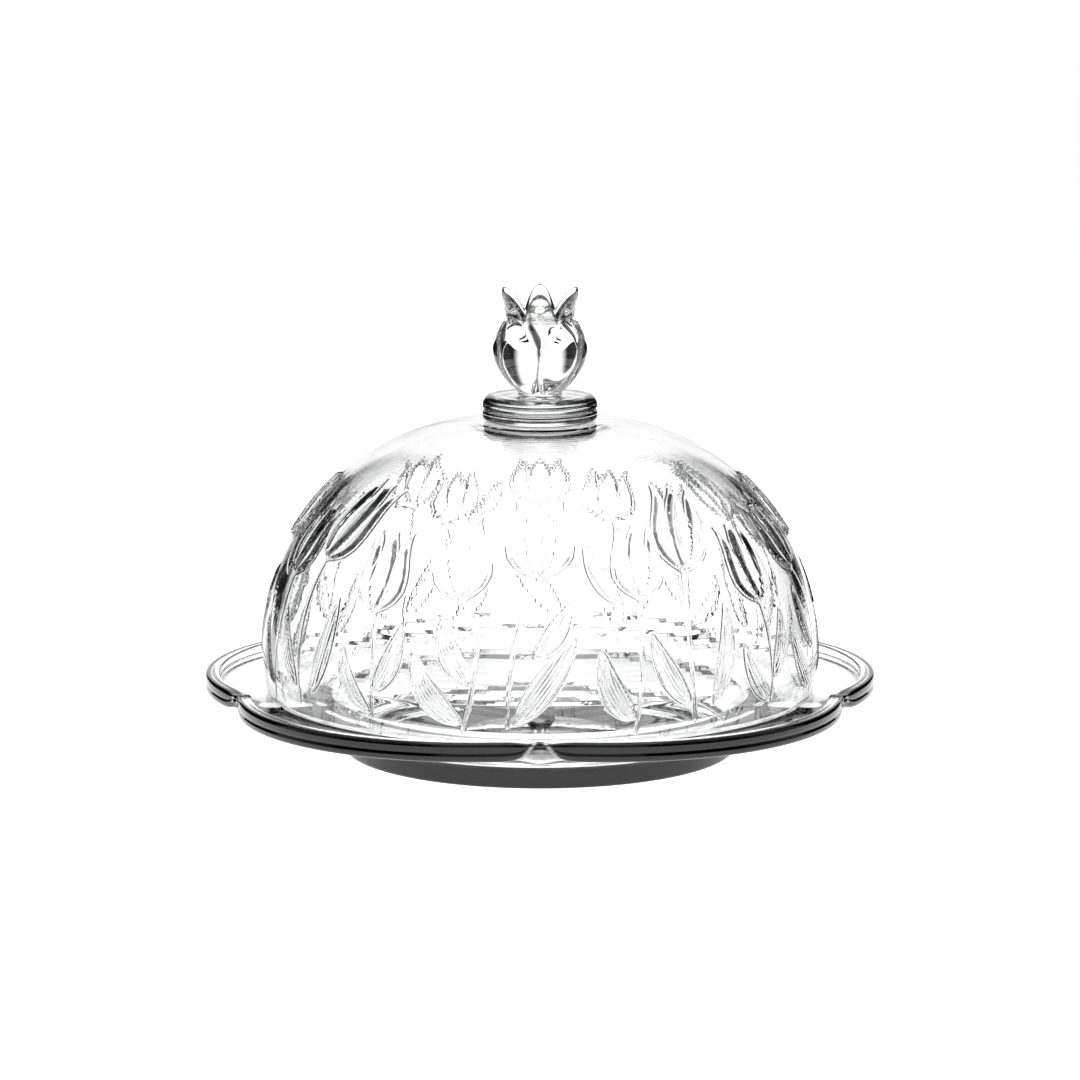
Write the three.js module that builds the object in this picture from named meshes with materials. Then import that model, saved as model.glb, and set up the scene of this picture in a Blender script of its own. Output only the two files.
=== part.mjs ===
import * as THREE from "three";
import * as BufferGeometryUtils from "three/addons/utils/BufferGeometryUtils.js";

// A cheese dome of colourless pressed glass, in millimetres, +Z up.
// The domed cover stands loose on a scalloped, footed plate.
// Heights are measured from the flat ring that the plate stands on.

// --- the plate ---------------------------------------------------------
const lobeCount = 5;
const lobeRadius = 87;
const lobeCentreDistance = 40.1;
const firstLobeDegrees = 90;
const seatZ = 22;
const lipHeight = 5;
const lipWidth = 5.2;
const rimThickness = 6.8;
const rimEdgeRound = 1.6;
const wellFillet = 1.4;
const recessTopRadius = 77;
const recessFloorRadius = 67.5;
const recessDepth = 12;
const recessFillet = 1.8;
const plateFloorThickness = 5.6;
const footOuterRadius = 73;
const footInnerRadius = 64;
const footHeight = 7.4;
const footEdgeRound = 1.2;
const hollowShoulder = 2.4;
const seatThickness = 5.4;
const undersideKneeRadius = 85;
const undersideRadius = 106;
const plateSegments = 80;

// --- the cover ---------------------------------------------------------
const glassWall = 4.6;
const crownFlatRadius = 21;
const bellRadius = 103;
const bellHeight = 100.6;
const skirtHeight = 14;
const skirtInset = 1.2;
const skirtEdgeRound = 1.4;
const bossRadius = 21.3;
const bossHeight = 4.4;
const bossTopRound = 1.2;
const bossRootRound = 2.2;
const bellSteps = 13;
const bellSegments = 72;

// --- the knob ----------------------------------------------------------
const bondThickness = 0.25;
const bondInset = 0.8;
const knobHeight = 44.1;
const collarHeight = 5.2;
const collarTopRound = 1.6;
const collarBaseRound = 0.8;
const neckRadius = 7.8;
const neckRootWidth = 1.2;
const bulbRadius = 17;
const petalTipRadius = 16.7;
const petalTipWall = 2.4;
const petalCount = 6;
const petalNotchDepth = 8.5;
const petalGroove = 0.9;
const cupDepth = 13;
const cupWaistRadius = 10.8;
const cupWaistDepth = 7.15;
const cupFloorRadius = 5.5;
const bulbSteps = 14;
const knobSegments = 48;

// The bulb's outline, as fractions of its radius and of its height above the collar.
const bulbOutline = [
  [0.49, 0.05],
  [0.7, 0.15],
  [0.92, 0.33],
  [1, 0.48],
  [0.92, 0.67],
  [0.86, 0.84],
];

// --- heights that follow from the sizes above ----------------------------
const rimTopZ = seatZ + lipHeight;
const rimBottomZ = rimTopZ - rimThickness;
const recessFloorZ = seatZ - recessDepth;
const hollowZ = recessFloorZ - plateFloorThickness;
const undersideKneeZ = seatZ - seatThickness;
const bellSpringZ = seatZ + skirtHeight;
const bellTopZ = seatZ + bellHeight;
const bossTopZ = bellTopZ + bossHeight;
const knobBaseZ = bossTopZ + bondThickness;

const degree = Math.PI / 180;
const quarterTurn = 90 * degree;
const weldDistance = 1e-4;

// Distance from the axis to a ring of equal arcs, in the direction of one angle.
function lobedReach(angle, arcRadius) {
  const step = (2 * Math.PI) / lobeCount;
  const turned = angle - firstLobeDegrees * degree;
  const local = turned - step * Math.round(turned / step);
  const along = lobeCentreDistance * Math.cos(local);
  const across = lobeCentreDistance * Math.sin(local);
  return along + Math.sqrt(arcRadius ** 2 - across ** 2);
}

// The whole part is moved so that the plate's outline is centred on the origin.
function outlineCentreY() {
  const reach = [];
  for (let index = 0; index < plateSegments; index += 1) {
    const angle = 2 * Math.PI * (index / plateSegments);
    reach.push(Math.sin(angle) * lobedReach(angle, lobeRadius));
  }
  return (Math.max(...reach) + Math.min(...reach)) / 2;
}

// A profile point is [radius, height]. Corners are rounded by a short fan of points.
function roundedCorner(before, corner, after, radius, steps) {
  const start = new THREE.Vector2(...corner);
  const toBefore = new THREE.Vector2(...before).sub(start).normalize().multiplyScalar(radius);
  const toAfter = new THREE.Vector2(...after).sub(start).normalize().multiplyScalar(radius);
  const curve = new THREE.QuadraticBezierCurve(
    start.clone().add(toBefore),
    start,
    start.clone().add(toAfter),
  );
  return curve.getPoints(steps).map((point) => [point.x, point.y]);
}

// A turned solid about the Z axis, from a profile that starts and ends on the axis.
function turnedSolid(profile, segments) {
  const points = profile.map(([radius, height]) => new THREE.Vector2(radius, height));
  const turned = new THREE.LatheGeometry(points, segments);
  turned.rotateX(quarterTurn);
  turned.deleteAttribute("normal");
  turned.deleteAttribute("uv");
  return BufferGeometryUtils.mergeVertices(turned, weldDistance);
}

// Moves each vertex of a turned solid, by a rule on its radius, height and angle.
function reshaped(geometry, rule) {
  const position = geometry.getAttribute("position");
  for (let index = 0; index < position.count; index += 1) {
    const x = position.getX(index);
    const y = position.getY(index);
    const z = position.getZ(index);
    const radius = Math.hypot(x, y);
    const angle = Math.atan2(y, x);
    const moved = rule(radius, z, angle);
    position.setXYZ(index, Math.cos(angle) * moved.radius, Math.sin(angle) * moved.radius, moved.z);
  }
  return geometry;
}

function finished(geometry, name, material) {
  const flat = geometry.toNonIndexed();
  flat.translate(0, -outlineCentreY(), 0);
  flat.computeVertexNormals();
  const mesh = new THREE.Mesh(flat, material);
  mesh.name = name;
  return mesh;
}

function clearGlass(name, colour, roughness) {
  return new THREE.MeshStandardMaterial({ name, color: colour, roughness, metalness: 0 });
}

// --- plate: foot ring, flared underside, scalloped rim, flat seat, sunk centre
function plateGeometry() {
  const cuspAngle = firstLobeDegrees * degree + Math.PI / lobeCount;
  const cuspReach = lobedReach(cuspAngle, lobeRadius);
  const wellReach = lobedReach(cuspAngle, lobeRadius - lipWidth);
  const rimOuterLow = [cuspReach, rimBottomZ];
  const rimOuterHigh = [cuspReach, rimTopZ];
  const rimInnerHigh = [wellReach, rimTopZ];
  const wellCorner = [wellReach, seatZ];
  const recessTop = [recessTopRadius, seatZ];
  const recessBottom = [recessFloorRadius, recessFloorZ];
  const footOuter = [footOuterRadius, 0];
  const footInner = [footInnerRadius, 0];
  const footShoulder = [footOuterRadius, footHeight];
  const undersideEdge = [undersideRadius, rimBottomZ - rimEdgeRound];
  const profile = [
    [0, hollowZ],
    [footInnerRadius - hollowShoulder, hollowZ],
    ...roundedCorner([footInnerRadius, hollowZ], footInner, footOuter, footEdgeRound, 1),
    ...roundedCorner(footInner, footOuter, footShoulder, footEdgeRound, 2),
    footShoulder,
    [undersideKneeRadius, undersideKneeZ],
    undersideEdge,
    ...roundedCorner(undersideEdge, rimOuterLow, rimOuterHigh, rimEdgeRound, 2),
    ...roundedCorner(rimOuterLow, rimOuterHigh, rimInnerHigh, rimEdgeRound, 2),
    ...roundedCorner(rimOuterHigh, rimInnerHigh, wellCorner, rimEdgeRound, 2),
    ...roundedCorner(rimInnerHigh, wellCorner, recessTop, wellFillet, 1),
    ...roundedCorner(wellCorner, recessTop, recessBottom, recessFillet, 1),
    ...roundedCorner(recessTop, recessBottom, [0, recessFloorZ], recessFillet, 1),
    [0, recessFloorZ],
  ];
  const turned = turnedSolid(profile, plateSegments);
  const lobedFrom = (undersideRadius + bellRadius) / 2;
  return reshaped(turned, (radius, z, angle) => {
    if (radius < lobedFrom) {
      return { radius, z };
    }
    const arcRadius = lobeRadius - (cuspReach - radius);
    const beyondCusp = lobedReach(angle, arcRadius) - lobedReach(cuspAngle, arcRadius);
    return { radius: radius + beyondCusp, z };
  });
}

// --- dome: one bell-shaped wall with a round boss on its crown
function domeGeometry() {
  const outer = [];
  const inner = [];
  const outerHeight = bellTopZ - bellSpringZ;
  const outerReach = bellRadius - crownFlatRadius;
  for (let step = 0; step <= bellSteps; step += 1) {
    const angle = (step / bellSteps) * quarterTurn;
    outer.push([
      crownFlatRadius + outerReach * Math.cos(angle),
      bellSpringZ + outerHeight * Math.sin(angle),
    ]);
    inner.push([
      crownFlatRadius + (outerReach - glassWall) * Math.cos(angle),
      bellSpringZ + (outerHeight - glassWall) * Math.sin(angle),
    ]);
  }
  const skirtOuter = [bellRadius - skirtInset, seatZ];
  const skirtInner = [bellRadius - skirtInset - glassWall, seatZ];
  const crown = [0, bellTopZ];
  const bossFoot = [bossRadius, bellTopZ];
  const bossTop = [bossRadius, bossTopZ];
  const profile = [
    [0, bellTopZ - glassWall],
    ...inner.reverse(),
    ...roundedCorner([skirtInner[0], bellSpringZ], skirtInner, skirtOuter, skirtEdgeRound, 1),
    ...roundedCorner(skirtInner, skirtOuter, [bellRadius, bellSpringZ], skirtEdgeRound, 1),
    ...outer.filter((point) => point[0] > bossRadius - bossRootRound),
    ...roundedCorner(crown, bossFoot, bossTop, bossRootRound, 2),
    ...roundedCorner(bossFoot, bossTop, [0, bossTopZ], bossTopRound, 1),
    [0, bossTopZ],
  ];
  return turnedSolid(profile, bellSegments);
}

// --- knob bond: the thin clear cured film that joins the collar to the boss
function bondGeometry() {
  const radius = bossRadius - bossTopRound - bondInset;
  const profile = [
    [0, bossTopZ],
    [radius, bossTopZ],
    [radius, knobBaseZ],
    [0, knobBaseZ],
  ];
  return turnedSolid(profile, knobSegments);
}

// --- knob: a disc collar carrying an open tulip with six pointed petals
function knobGeometry() {
  const collarTop = knobBaseZ + collarHeight;
  const tip = knobBaseZ + knobHeight;
  const cupFloor = tip - cupDepth;
  const bodyHeight = tip - collarTop;
  const collarLow = [bossRadius, knobBaseZ];
  const collarHigh = [bossRadius, collarTop];
  const bulbPoints = bulbOutline.map(
    ([wide, high]) => new THREE.Vector2(bulbRadius * wide, collarTop + bodyHeight * high),
  );
  const bulbCurve = new THREE.SplineCurve([...bulbPoints, new THREE.Vector2(petalTipRadius, tip)]);
  const profile = [
    [0, knobBaseZ],
    ...roundedCorner([0, knobBaseZ], collarLow, collarHigh, collarBaseRound, 1),
    ...roundedCorner(collarLow, collarHigh, [neckRadius, collarTop], collarTopRound, 2),
    [neckRadius + neckRootWidth, collarTop],
    ...bulbCurve.getPoints(bulbSteps).map((point) => [point.x, point.y]),
    [petalTipRadius - petalTipWall, tip],
    [cupWaistRadius, tip - cupWaistDepth],
    [cupFloorRadius, cupFloor],
    [0, cupFloor],
  ];
  const turned = turnedSolid(profile, knobSegments);
  return reshaped(turned, (radius, z, angle) => {
    const rise = Math.max(0, (z - cupFloor) / cupDepth);
    const petal = Math.abs(Math.cos((petalCount / 2) * (angle - firstLobeDegrees * degree)));
    const climb = Math.min(1, Math.max(0, (z - collarTop) / bodyHeight));
    const bulge = Math.sin(Math.PI * climb);
    const groove = radius > neckRadius + petalGroove ? petalGroove * bulge * (1 - petal) : 0;
    return {
      radius: radius - groove,
      z: z - petalNotchDepth * rise ** 2 * (1 - petal),
    };
  });
}

const group = new THREE.Group();
group.name = "cheese_dome";
group.add(finished(plateGeometry(), "plate", clearGlass("plate_glass", "#eef3f2", 0.06)));
group.add(finished(domeGeometry(), "dome", clearGlass("dome_glass", "#f2f6f5", 0.05)));
group.add(finished(bondGeometry(), "knob_bond", clearGlass("clear_bond", "#f6f8f8", 0.1)));
group.add(finished(knobGeometry(), "knob", clearGlass("knob_glass", "#f0f5f4", 0.05)));

export default group;
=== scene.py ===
# %% [markdown]
# # A pressed-glass cheese dome
# The object is three glass pressings. A bell-shaped cover carries tulips in low relief, and it stands
# loose on a scalloped, footed plate. A tulip knob is bonded to a boss on the crown of the cover.
# Everything is in metres, +Z up, and the front of the object faces -Y.

# %% The frame and its boxes
import math

import bpy
import numpy as np
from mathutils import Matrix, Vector


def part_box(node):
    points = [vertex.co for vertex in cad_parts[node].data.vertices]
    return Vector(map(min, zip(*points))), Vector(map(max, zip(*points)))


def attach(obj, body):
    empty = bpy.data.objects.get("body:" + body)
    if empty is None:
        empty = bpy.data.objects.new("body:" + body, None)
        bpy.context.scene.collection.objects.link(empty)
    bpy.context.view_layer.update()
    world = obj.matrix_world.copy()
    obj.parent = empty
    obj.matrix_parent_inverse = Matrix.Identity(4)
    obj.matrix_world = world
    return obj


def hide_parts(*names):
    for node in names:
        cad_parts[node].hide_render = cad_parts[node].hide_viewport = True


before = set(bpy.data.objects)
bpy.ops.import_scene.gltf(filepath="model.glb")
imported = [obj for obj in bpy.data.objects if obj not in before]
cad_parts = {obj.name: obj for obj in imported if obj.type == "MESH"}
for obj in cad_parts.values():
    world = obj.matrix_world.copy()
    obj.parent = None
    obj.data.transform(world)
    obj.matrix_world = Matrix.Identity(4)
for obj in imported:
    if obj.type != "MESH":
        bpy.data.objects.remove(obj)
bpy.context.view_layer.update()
MM = 0.001
dome_low, dome_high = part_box("dome")
knob_low, knob_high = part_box("knob")
bond_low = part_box("knob_bond")[0]
plate_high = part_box("plate")[1]
AXIS_X = (dome_low[0] + dome_high[0]) / 2
AXIS_Y = (dome_low[1] + dome_high[1]) / 2

# %% [markdown]
# ## A way to make turned glass
# Every pressing here is a body of revolution that a mould has changed a little: scallops on the plate,
# relief on the bell, petals on the knob. One closed profile could be spun by a modifier, but then the
# relief would need a second step. It is simpler to write the grid of points directly, with one ring for
# each profile point, and to move each point before the mesh is made.

# %% Rings of points
def ring_mesh(name, radius, height, angles, attributes=None):
    """Rings of points, closed by a single point on the axis at each end of the profile."""
    rows, columns = radius.shape
    x = AXIS_X + MM * radius * np.sin(angles)
    y = AXIS_Y - MM * radius * np.cos(angles)
    z = MM * height
    body = np.stack([x, y, z], axis=-1).reshape(-1, 3)
    first = [AXIS_X, AXIS_Y, MM * height[0].mean()]
    last = [AXIS_X, AXIS_Y, MM * height[-1].mean()]
    points = np.vstack([body, first, last])
    row = np.arange(rows - 1)[:, None] * columns
    column = np.arange(columns)[None, :]
    after = (column + 1) % columns
    quads = np.stack([row + column, row + after, row + columns + after, row + columns + column], axis=-1)
    quads = quads.reshape(-1, 4)
    around = np.arange(columns)
    following = (around + 1) % columns
    start, end = rows * columns, rows * columns + 1
    top = (rows - 1) * columns
    fans = [(start, int(b), int(a)) for a, b in zip(around, following)]
    fans += [(end, int(top + a), int(top + b)) for a, b in zip(around, following)]
    mesh = bpy.data.meshes.new(name)
    mesh.from_pydata(points.tolist(), [], quads.tolist() + fans)
    for label, values in (attributes or {}).items():
        layer = mesh.attributes.new(label, "FLOAT", "POINT")
        padded = np.concatenate([values.reshape(-1), values[0, :1], values[-1, :1]]).astype(np.float32)
        layer.data.foreach_set("value", padded)
    mesh.validate()
    mesh.update()
    for polygon in mesh.polygons:
        polygon.use_smooth = True
    piece = bpy.data.objects.new(name, mesh)
    bpy.context.collection.objects.link(piece)
    return piece

# %% Profile helpers
HOLD = 0.3
LONG_RUN = 1.2


def corner(before, at, after, size, steps=5):
    """Points on a rounded corner of a profile, in millimetres."""
    at = np.array(at, float)
    one = at + size * (np.array(before) - at) / np.linalg.norm(np.array(before) - at)
    two = at + size * (np.array(after) - at) / np.linalg.norm(np.array(after) - at)
    t = np.linspace(0, 1, steps)[:, None]
    return ((1 - t) ** 2 * one + 2 * t * (1 - t) * at + t ** 2 * two).tolist()


def filled(profile, spacing):
    """Adds points along the long runs of a profile, with a close pair at each end to hold a flat true."""
    out = [profile[0]]
    for a, b in zip(profile, profile[1:]):
        length = math.dist(a, b)
        steps = np.linspace(0, 1, max(1, int(math.ceil(length / spacing))) + 1)
        if length > LONG_RUN:
            steps = np.unique(np.concatenate([steps, [HOLD / length, 1 - HOLD / length]]))
        for step in steps[1:]:
            out.append([a[0] + (b[0] - a[0]) * step, a[1] + (b[1] - a[1]) * step])
    return np.array(out)


def smooth_step(value, low, high):
    t = np.clip((value - low) / (high - low), 0, 1)
    return t * t * (3 - 2 * t)


print("a rounded corner has", len(corner([0, 1], [0, 0], [1, 0], 0.5)), "points")

# %% [markdown]
# ## The drawing of a tulip, a leaf and a stem
# The mould maker cut the relief as a flat drawing and wrapped it round the bell. The same is done here.
# Each shape is drawn in millimetres on the unrolled surface, as a distance to its outline: below zero is
# inside. Distances give both the swelling of the surface and, later, crisp lines in the material.

# %% Outlines of the petals
# Each outline is a list of places up the petal, then its half width at each, as shares of the tulip.
TULIP_SIDE = (
    [0, 0.06, 0.14, 0.26, 0.4, 0.55, 0.7, 0.84, 0.94, 1.0],
    [0, 0.42, 0.74, 0.96, 1.0, 0.93, 0.8, 0.7, 0.66, 0.68],
)
TULIP_INNER = ([0, 0.15, 0.35, 0.55, 0.75, 0.9, 1.0], [0, 0.16, 0.3, 0.36, 0.42, 0.52, 0.68])
TULIP_MIDDLE = ([0, 0.12, 0.3, 0.48, 0.66, 0.82, 0.95, 1.0], [0, 0.24, 0.4, 0.44, 0.38, 0.24, 0.05, 0])
FAR_AWAY = 9.0
REST = {"height": 0.0, "outline": FAR_AWAY, "across": 0.0, "leaf": -1.0, "vein": FAR_AWAY, "vein_mask": 0.0}
LAYERS = ["outline", "across", "leaf", "vein", "vein_mask"]


def blank(shape):
    """An empty drawing: flat everywhere, and far from every outline."""
    return {layer: np.full(shape, value) for layer, value in REST.items()}


def drawn(curve, t):
    """A smooth value from a short list of given points."""
    dense = np.linspace(-0.1, 1.1, 241)
    line = np.interp(dense, curve[0], curve[1])
    kernel = np.hanning(17)
    soft = np.convolve(np.pad(line, 8, mode="edge"), kernel / kernel.sum(), mode="valid")
    return np.interp(t, dense, soft)


print("widest part of a tulip", float(drawn(TULIP_SIDE, np.linspace(0, 1, 101)).max().round(3)))

# %% Laying one shape over another
COVER_STEP = 0.15


def merge(state, height, outline, across):
    """Lays one shape over the drawing. The higher surface wins, as one petal covers another."""
    over = (height > state["height"]) & (outline < 0)
    buried = (state["outline"] < 0) & ~over
    hidden = -np.minimum(np.abs(outline), -state["outline"])
    nearest = np.where(buried, hidden, np.minimum(outline, state["outline"]))
    deeply = buried & (state["height"] > height + COVER_STEP)
    lower_outline = np.where(deeply & (outline < 0), state["outline"], nearest)
    state["outline"] = np.where(over, outline, lower_outline)
    state["height"] = np.where(over, height, state["height"])
    state["across"] = np.where(over, across, state["across"])


def tulip(state, u, v, base, tip, half_width, rise):
    """Three overlapping petals. Base and tip are points on the unrolled surface."""
    du, dv = tip[0] - base[0], tip[1] - base[1]
    length = math.hypot(du, dv)
    ax, ay = du / length, dv / length
    along = ((u - base[0]) * ax + (v - base[1]) * ay) / length
    side = (u - base[0]) * ay - (v - base[1]) * ax
    t = np.clip(along, 0, 1)
    ends = np.maximum(-along, along - 1) * length
    outer = drawn(TULIP_SIDE, t) * half_width
    inner = drawn(TULIP_INNER, t) * half_width
    middle = drawn(TULIP_MIDDLE, t) * half_width
    for sign in (-1, 1):
        centre = sign * (outer + inner) / 2
        half = np.maximum((outer - inner) / 2, 0.05)
        distance = np.maximum(np.abs(side - centre) - half, ends)
        swell = rise * (0.35 + 0.5 * np.sqrt(np.clip(1 - ((side - centre) / half) ** 2, 0, 1)))
        shape = swell * smooth_step(-distance, 0, 1.5)
        merge(state, shape, distance, (side - centre) / half)
    distance = np.maximum(np.abs(side) - middle, ends)
    swell = rise * (0.5 + 0.6 * np.sqrt(np.clip(1 - (side / np.maximum(middle, 0.05)) ** 2, 0, 1)))
    shape = swell * smooth_step(-distance, 0, 1.5)
    merge(state, shape, distance, side / np.maximum(middle, 0.05))


sample = blank((1, 3))
tulip(sample, np.array([[0.0, 5.0, 30.0]]), np.array([[15.0, 15.0, 15.0]]), (0, 0), (0, 30), 10.0, 1.5)
print("tulip height at its middle, its side and outside", sample["height"].round(2).tolist())

# %% A stem or a leaf
def centre_line(points, t):
    """A smooth bend through three points, or a straight line through two."""
    points = np.array(points, float)
    if len(points) == 2:
        points = np.array([points[0], points.mean(axis=0), points[1]])
    through = 2 * points[1] - (points[0] + points[2]) / 2
    start_pull = ((1 - t) ** 2)[:, None]
    middle_pull = (2 * t * (1 - t))[:, None]
    return start_pull * points[0] + middle_pull * through + (t ** 2)[:, None] * points[2]


def ribbon(state, u, v, points, half_width, rise, leaf):
    """A stem or a leaf along a bent centre line. A leaf is pointed at both ends and ribbed."""
    t = np.linspace(0, 1, 48)
    line = centre_line(points, t)
    reach = half_width + 3
    near = (u > line[:, 0].min() - reach) & (u < line[:, 0].max() + reach)
    near &= (v > line[:, 1].min() - reach) & (v < line[:, 1].max() + reach)
    if not near.any():
        return
    pu, pv = u[near], v[near]
    apart = (pu[:, None] - line[:, 0]) ** 2 + (pv[:, None] - line[:, 1]) ** 2
    index = apart.argmin(axis=1)
    run = np.gradient(line, axis=0)
    run /= np.linalg.norm(run, axis=1)[:, None]
    side = (pu - line[index, 0]) * run[index, 1] - (pv - line[index, 1]) * run[index, 0]
    far = np.sqrt(apart[np.arange(len(index)), index])
    if leaf:
        width = half_width * np.sin(np.pi * np.clip(t, 0.001, 0.999) ** 0.85) ** 0.75
    else:
        width = half_width * (1 - 0.25 * t)
    local = np.maximum(width[index], 0.05)
    ended = (index == 0) | (index == len(t) - 1)
    distance = np.where(ended, far, np.abs(side)) - local
    inside = np.clip(1 - (far / local) ** 2, 0, 1)
    swell = rise * ((0.55 + 0.45 * inside) if leaf else (0.5 + 0.5 * np.sqrt(inside)))
    shape = swell * smooth_step(-distance, 0, 1.3)
    part = {key: values[near] for key, values in state.items()}
    if not leaf:
        open_air = part["outline"] > 0
        part["height"] = np.maximum(part["height"], shape)
        part["vein"] = np.where(open_air, side, part["vein"])
        part["vein_mask"] = np.where(open_air, 1 - smooth_step(far, 1.3, 2.2), part["vein_mask"])
    else:
        merge(part, shape, distance, side)
        part["leaf"] = np.where((distance < 0) & (shape >= part["height"] - 1e-6), -distance, part["leaf"])
    for key, values in part.items():
        state[key][near] = values


bend = centre_line([(0, 0), (2, 5), (0, 10)], np.linspace(0, 1, 5))
print("a bent centre line", bend.round(1).tolist())

# %% [markdown]
# ## The bell
# The outside follows a quarter of an ellipse that starts from a small flat crown, and then drops almost
# straight to the seat. The inside is smooth, because the plunger that pressed it was smooth. The outside
# repeats one drawing four times: a cast-iron mould in four hinged parts leaves it that way.

# %% Sizes of the bell
BOSS_HEIGHT, SKIRT_HEIGHT = 4.4, 14.0
CROWN, WALL, SKIRT_INSET = 21.0, 4.6, 1.2
SKIRT_ROUND, BOSS_ROOT, BOSS_ROUND = 1.4, 2.9, 1.2
LIFT_OFF = 0.03
COLUMNS, SPACING = 660, 2.6
SEAT = dome_low[2] / MM
BELL = (dome_high[0] - dome_low[0]) / 2 / MM
BOSS_TOP = bond_low[2] / MM
BOSS = (knob_high[0] - knob_low[0]) / 2 / MM
TOP = BOSS_TOP - BOSS_HEIGHT
SPRING = SEAT + SKIRT_HEIGHT
print("seat", round(SEAT, 2), "bell radius", round(BELL, 2), "boss", round(BOSS, 2), "mm")

# %% The mould maker's drawing
# Each place is degrees round the bell, then millimetres up its wall.
# A tulip has a base, a tip and a half width. A stem has three places. A leaf has three and a half width.
TULIPS = [
    ((0.0, 59.6), (0.0, 91.5), 12.0),
    ((21.5, 51.0), (24.0, 80.5), 9.8),
    ((33.4, 59.5), (41.5, 94.5), 11.2),
    ((53.4, 44.0), (52.8, 75.0), 10.4),
    ((73.6, 51.0), (69.4, 82.5), 10.8),
]
STEMS = [
    [(0.0, 60.5), (-4.8, 38.6), (-6.5, 8.5)],
    [(21.5, 52.0), (20.8, 28.0), (19.5, 5.5)],
    [(33.4, 60.5), (31.8, 36.0), (32.4, 8.0)],
    [(53.4, 45.0), (54.4, 26.0), (54.2, 8.5)],
    [(73.6, 52.0), (77.2, 34.0), (74.8, 6.5)],
]
LEAVES = [
    ([(-4.6, 8.6), (1.6, 23.0), (7.2, 38.2)], 4.8),
    ([(-0.6, 32.0), (3.4, 41.0), (6.2, 50.5)], 3.8),
    ([(75.4, 21.5), (71.2, 33.0), (69.6, 45.2)], 4.2),
    ([(74.0, 8.0), (67.5, 17.0), (63.6, 32.0)], 4.6),
    ([(53.6, 8.8), (48.4, 18.0), (46.2, 31.0)], 3.4),
    ([(54.9, 16.8), (58.6, 27.0), (60.2, 40.4)], 4.2),
    ([(37.0, 11.6), (40.6, 28.0), (42.4, 47.0)], 3.9),
    ([(18.9, 9.2), (14.4, 19.0), (12.6, 34.0)], 4.6),
    ([(31.2, 12.6), (26.4, 24.0), (23.4, 38.6)], 4.2),
    ([(17.6, 50.0), (13.0, 60.0), (10.8, 73.6)], 3.4),
]
print(len(TULIPS), "tulips", len(STEMS), "stems", len(LEAVES), "leaves in each quarter")

# %% The profile of the bell
quarter = np.radians(np.linspace(0, 90, 400))
skirt_r = np.linspace(BELL - SKIRT_INSET, BELL, 40)[:-1]
skirt_z = np.linspace(SEAT, SPRING, 40)[:-1]
wall_r = np.concatenate([skirt_r, CROWN + (BELL - CROWN) * np.cos(quarter)])
wall_z = np.concatenate([skirt_z, SPRING + (TOP - SPRING) * np.sin(quarter)])
wall_s = np.concatenate([[0], np.cumsum(np.hypot(np.diff(wall_r), np.diff(wall_z)))])
rise_rows = np.concatenate([np.linspace(1.6, 104, 138), np.linspace(107, wall_s[-1] - 3.6, 12)])
outer_r = np.interp(rise_rows, wall_s, wall_r)
outer_z = np.interp(rise_rows, wall_s, wall_z)

inner_turn = np.radians(np.linspace(90, 0, 72))
inner_r = CROWN + (BELL - WALL - CROWN) * np.cos(inner_turn)
inner_z = SPRING + (TOP - WALL - SPRING) * np.sin(inner_turn)
skirt_in = [BELL - SKIRT_INSET - WALL, SEAT + LIFT_OFF]
skirt_out = [BELL - SKIRT_INSET, SEAT + LIFT_OFF]
lower = corner([skirt_in[0], SPRING], skirt_in, skirt_out, SKIRT_ROUND)
lower += corner(skirt_in, skirt_out, [BELL, SPRING], SKIRT_ROUND)
upper = [[BOSS + step, TOP] for step in (2.2, 0.9, 0.0, -0.9, -1.7, -2.3, -2.7)]
upper += corner([0, TOP], [BOSS, TOP], [BOSS, BOSS_TOP], BOSS_ROOT, 9)
upper += corner([BOSS, TOP], [BOSS, BOSS_TOP], [0, BOSS_TOP], BOSS_ROUND)
upper += [[14, BOSS_TOP], [6, BOSS_TOP]]
under = [[8, TOP - WALL]] + np.stack([inner_r, inner_z], -1).tolist()
before = filled(under + lower, SPACING)
after = filled(upper, SPACING)
profile_r = np.concatenate([before[:, 0], outer_r, after[:, 0]])
profile_z = np.concatenate([before[:, 1], outer_z, after[:, 1]])
print("bell profile", len(profile_r), "points,", len(rise_rows), "of them on the drawn wall")

# %% The drawing laid on the wall
turn = np.linspace(0, 2 * np.pi, COLUMNS, endpoint=False)
repeat = (np.degrees(turn) + 45) % 90 - 45
bell_art = blank((len(rise_rows), COLUMNS))
v_grid = np.repeat(rise_rows[:, None], COLUMNS, axis=1)
arc = np.radians(1) * outer_r[:, None]
LEAF_SLIM, LEAF_RISE, TULIP_RISE, STEM_HALF = 0.88, 0.7, 1.5, 1.3


def unrolled(place, home):
    """A place on the bell, as millimetres across and up the unrolled wall."""
    return (np.radians(place[0] - home) * np.interp(place[1], wall_s, wall_r), place[1])


for shift in (-90, 0):
    offset = repeat - shift
    for points, half in LEAVES:
        home = points[1][0]
        u = (offset[None, :] - home) * arc
        line = [unrolled(place, home) for place in points]
        ribbon(bell_art, u, v_grid, line, half * LEAF_SLIM, LEAF_RISE, True)
    for base, tip, half in TULIPS:
        u = (offset[None, :] - base[0]) * arc
        tulip(bell_art, u, v_grid, (0.0, base[1]), unrolled(tip, base[0]), half, TULIP_RISE)
    for points in STEMS:
        home = points[0][0]
        u = (offset[None, :] - home) * arc
        line = [unrolled(place, home) for place in points]
        ribbon(bell_art, u, v_grid, line, STEM_HALF, 0.0, False)
print("share of the wall in relief", round(float((bell_art["height"] > 0).mean()), 3))

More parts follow.
